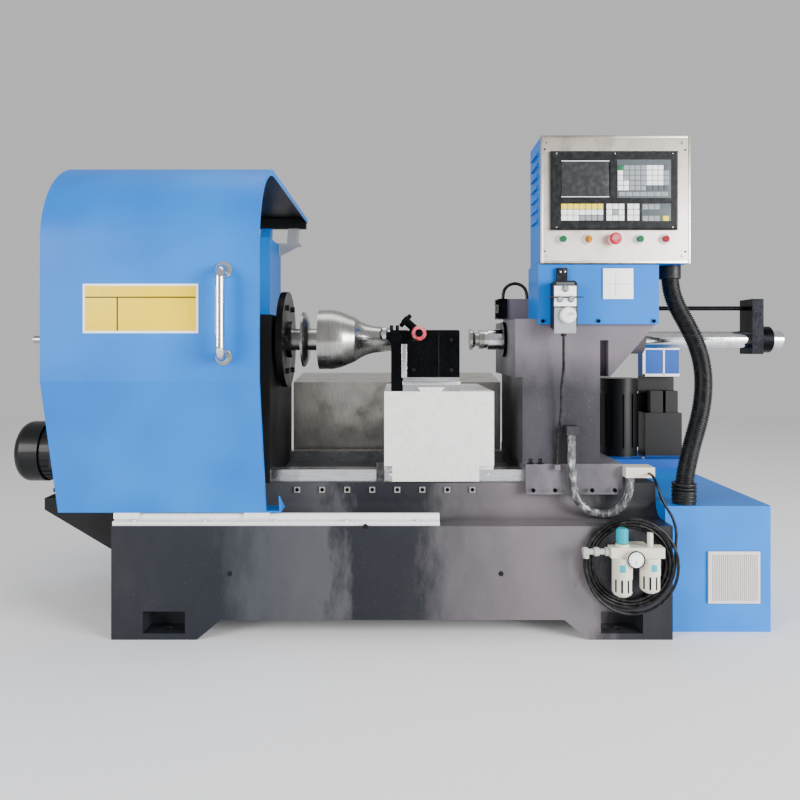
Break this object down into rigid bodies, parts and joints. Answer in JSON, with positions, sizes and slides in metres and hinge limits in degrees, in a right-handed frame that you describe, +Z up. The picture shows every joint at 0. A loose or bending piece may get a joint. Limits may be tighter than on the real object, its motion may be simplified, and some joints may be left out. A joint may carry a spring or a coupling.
{
  "type": "metal spinning lathe",
  "caption": "Automatic metal spinning lathe with belted headstock, tool slide, hydraulic tailstock, sliding guard and control box.",
  "frame": {"origin": "on the floor below the middle of the machine's box", "axes": "+X from the headstock to the tailstock, +Y to the back, +Z up"},
  "size_m": [2.81, 1.248, 1.628],
  "materials": {
    "dark_casting": "matte dark paint on cast iron",
    "grey_casting": "satin grey-mauve paint",
    "white_paint": "satin",
    "blue_paint": "satin",
    "dark_blue_paint": "satin",
    "black_paint": "satin",
    "black_oxide": "oiled black oxide",
    "ground_steel": "ground and oiled",
    "turned_steel": "turned",
    "chrome": "polished",
    "stainless": "brushed",
    "belt_rubber": "matte",
    "rubber": "matte",
    "nylon": "matte",
    "black_plastic": "matte",
    "grey_key": "matte",
    "green_button": "gloss",
    "yellow_knob": "gloss",
    "red_button": "gloss",
    "beige_plastic": "matte",
    "cream_plastic": "satin",
    "teal_plastic": "gloss",
    "clear_wrap": "film over cables",
    "hose_plastic": "satin",
    "blue_pendant": "satin"
  },
  "bodies": {
    "machine": {"bed_casting": "dark_casting", "guideway_rails": "ground_steel", "gib_clamps": "black_oxide", "guard_rail": "white_paint", "headstock_casting": "dark_casting", "spindle_bearings": "turned_steel", "drive_belts": "belt_rubber", "motor_platform": "dark_casting", "spindle_motor": "blue_paint", "rear_cabinet": "dark_blue_paint", "rear_way_cover": "stainless", "tailstock_base": "grey_casting", "tailstock_body": "grey_casting", "quill_collar": "black_oxide", "control_pedestal": "blue_paint", "control_box": "blue_paint", "panel_plate": "stainless", "cnc_unit": "black_plastic", "cnc_keys": "grey_key", "pendant_box": "blue_pendant", "electrical_cabinet": "blue_paint", "vent_grille": "beige_plastic", "hydraulic_unit": "dark_blue_paint", "air_unit": "cream_plastic", "junction_block": "cream_plastic", "cable_conduit": "black_plastic", "conduit_cuffs": "black_plastic", "film_wrapped_cable": "clear_wrap", "pendant_cable": "hose_plastic", "sensor_conduit": "hose_plastic", "air_hose_coil": "hose_plastic"},
    "guard": {"guard_shell": "blue_paint", "guard_handle": "chrome", "guard_runners": "white_paint", "guard_track": "black_paint"},
    "spindle": {"spindle_shaft": "turned_steel", "face_plate": "turned_steel", "mandrel": "ground_steel", "spindle_pulley": "turned_steel"},
    "ejector": {"ejector_disc": "turned_steel"},
    "motor_rotor": {"motor_pulley": "turned_steel"},
    "saddle": {"saddle_casting": "white_paint", "saddle_apron": "white_paint", "way_wiper": "rubber"},
    "tool_slide": {"cross_slide": "ground_steel", "tool_block": "black_oxide", "roller_post": "black_oxide"},
    "former": {"forming_roller": "ground_steel"},
    "trimmer": {"trim_wheel": "black_oxide"},
    "nylon": {"nylon_wheel": "nylon"},
    "quill": {"tailstock_quill": "chrome", "quill_bracket": "black_oxide"},
    "centre": {"live_centre": "turned_steel"},
    "start": {"start_button": "green_button"},
    "selector": {"mode_selector": "yellow_knob"},
    "stop": {"emergency_stop": "red_button"},
    "clamp": {"clamp_button": "green_button"},
    "release": {"release_button": "red_button"},
    "jog_wheel": {"hand_wheel": "black_plastic"},
    "regulator": {"regulator_knob": "teal_plastic"}
  },
  "joints": [
    {"name": "guard_slide", "type": "slide", "parent": "machine", "child": "guard", "axis": [1, 0, 0], "range_m": [0, 0.45]},
    {"name": "spindle_spin", "type": "hinge", "parent": "machine", "child": "spindle", "pos_m": [-0.6, -0.113, 0.956], "axis": [1, 0, 0], "continuous": true},
    {"name": "ejector_slide", "type": "slide", "parent": "spindle", "child": "ejector", "axis": [1, 0, 0], "range_m": [-0.03, 0.035]},
    {"name": "motor_spin", "type": "hinge", "parent": "machine", "child": "motor_rotor", "pos_m": [-1, -0.023, 0.536], "axis": [1, 0, 0], "continuous": true},
    {"name": "saddle_slide", "type": "slide", "parent": "machine", "child": "saddle", "axis": [1, 0, 0], "range_m": [-0.24, 0.06]},
    {"name": "cross_slide_feed", "type": "slide", "parent": "saddle", "child": "tool_slide", "axis": [0, 1, 0], "range_m": [-0.1, 0.068]},
    {"name": "forming_roller_spin", "type": "hinge", "parent": "tool_slide", "child": "former", "pos_m": [-0.044, -0.251, 0.973], "axis": [1, 0, 0], "continuous": true},
    {"name": "trim_wheel_spin", "type": "hinge", "parent": "tool_slide", "child": "trimmer", "pos_m": [0.024, -0.267, 1.024], "axis": [0.7431, 0, -0.6691], "continuous": true},
    {"name": "nylon_wheel_spin", "type": "hinge", "parent": "tool_slide", "child": "nylon", "pos_m": [0.074, -0.32, 0.975], "axis": [0, 1, 0], "continuous": true},
    {"name": "quill_slide", "type": "slide", "parent": "machine", "child": "quill", "axis": [1, 0, 0], "range_m": [-0.28, 0.05]},
    {"name": "live_centre_spin", "type": "hinge", "parent": "quill", "child": "centre", "pos_m": [0.33, -0.113, 0.956], "axis": [1, 0, 0], "continuous": true},
    {"name": "start_press", "type": "slide", "parent": "machine", "child": "start", "axis": [0, 1, 0], "range_m": [0, 0.004], "stiffness_N_per_m": 400},
    {"name": "clamp_press", "type": "slide", "parent": "machine", "child": "clamp", "axis": [0, 1, 0], "range_m": [0, 0.004], "stiffness_N_per_m": 400},
    {"name": "release_press", "type": "slide", "parent": "machine", "child": "release", "axis": [0, 1, 0], "range_m": [0, 0.004], "stiffness_N_per_m": 400},
    {"name": "emergency_press", "type": "slide", "parent": "machine", "child": "stop", "axis": [0, 1, 0], "range_m": [0, 0.006], "stiffness_N_per_m": 400},
    {"name": "mode_turn", "type": "hinge", "parent": "machine", "child": "selector", "pos_m": [0.6316, -0.37, 1.284], "axis": [0, 1, 0], "range_deg": [-45, 45]},
    {"name": "hand_wheel_turn", "type": "hinge", "parent": "machine", "child": "jog_wheel", "pos_m": [0.552, -0.42, 1.031], "axis": [0, 1, 0], "continuous": true},
    {"name": "regulator_turn", "type": "hinge", "parent": "machine", "child": "regulator", "pos_m": [0.696, -0.519, 0.34], "axis": [0, 0, 1], "range_deg": [-180, 180]}
  ],
  "couplings": [
    {"joint": "motor_spin", "follows": "spindle_spin", "ratio": 1.7143}
  ]
}
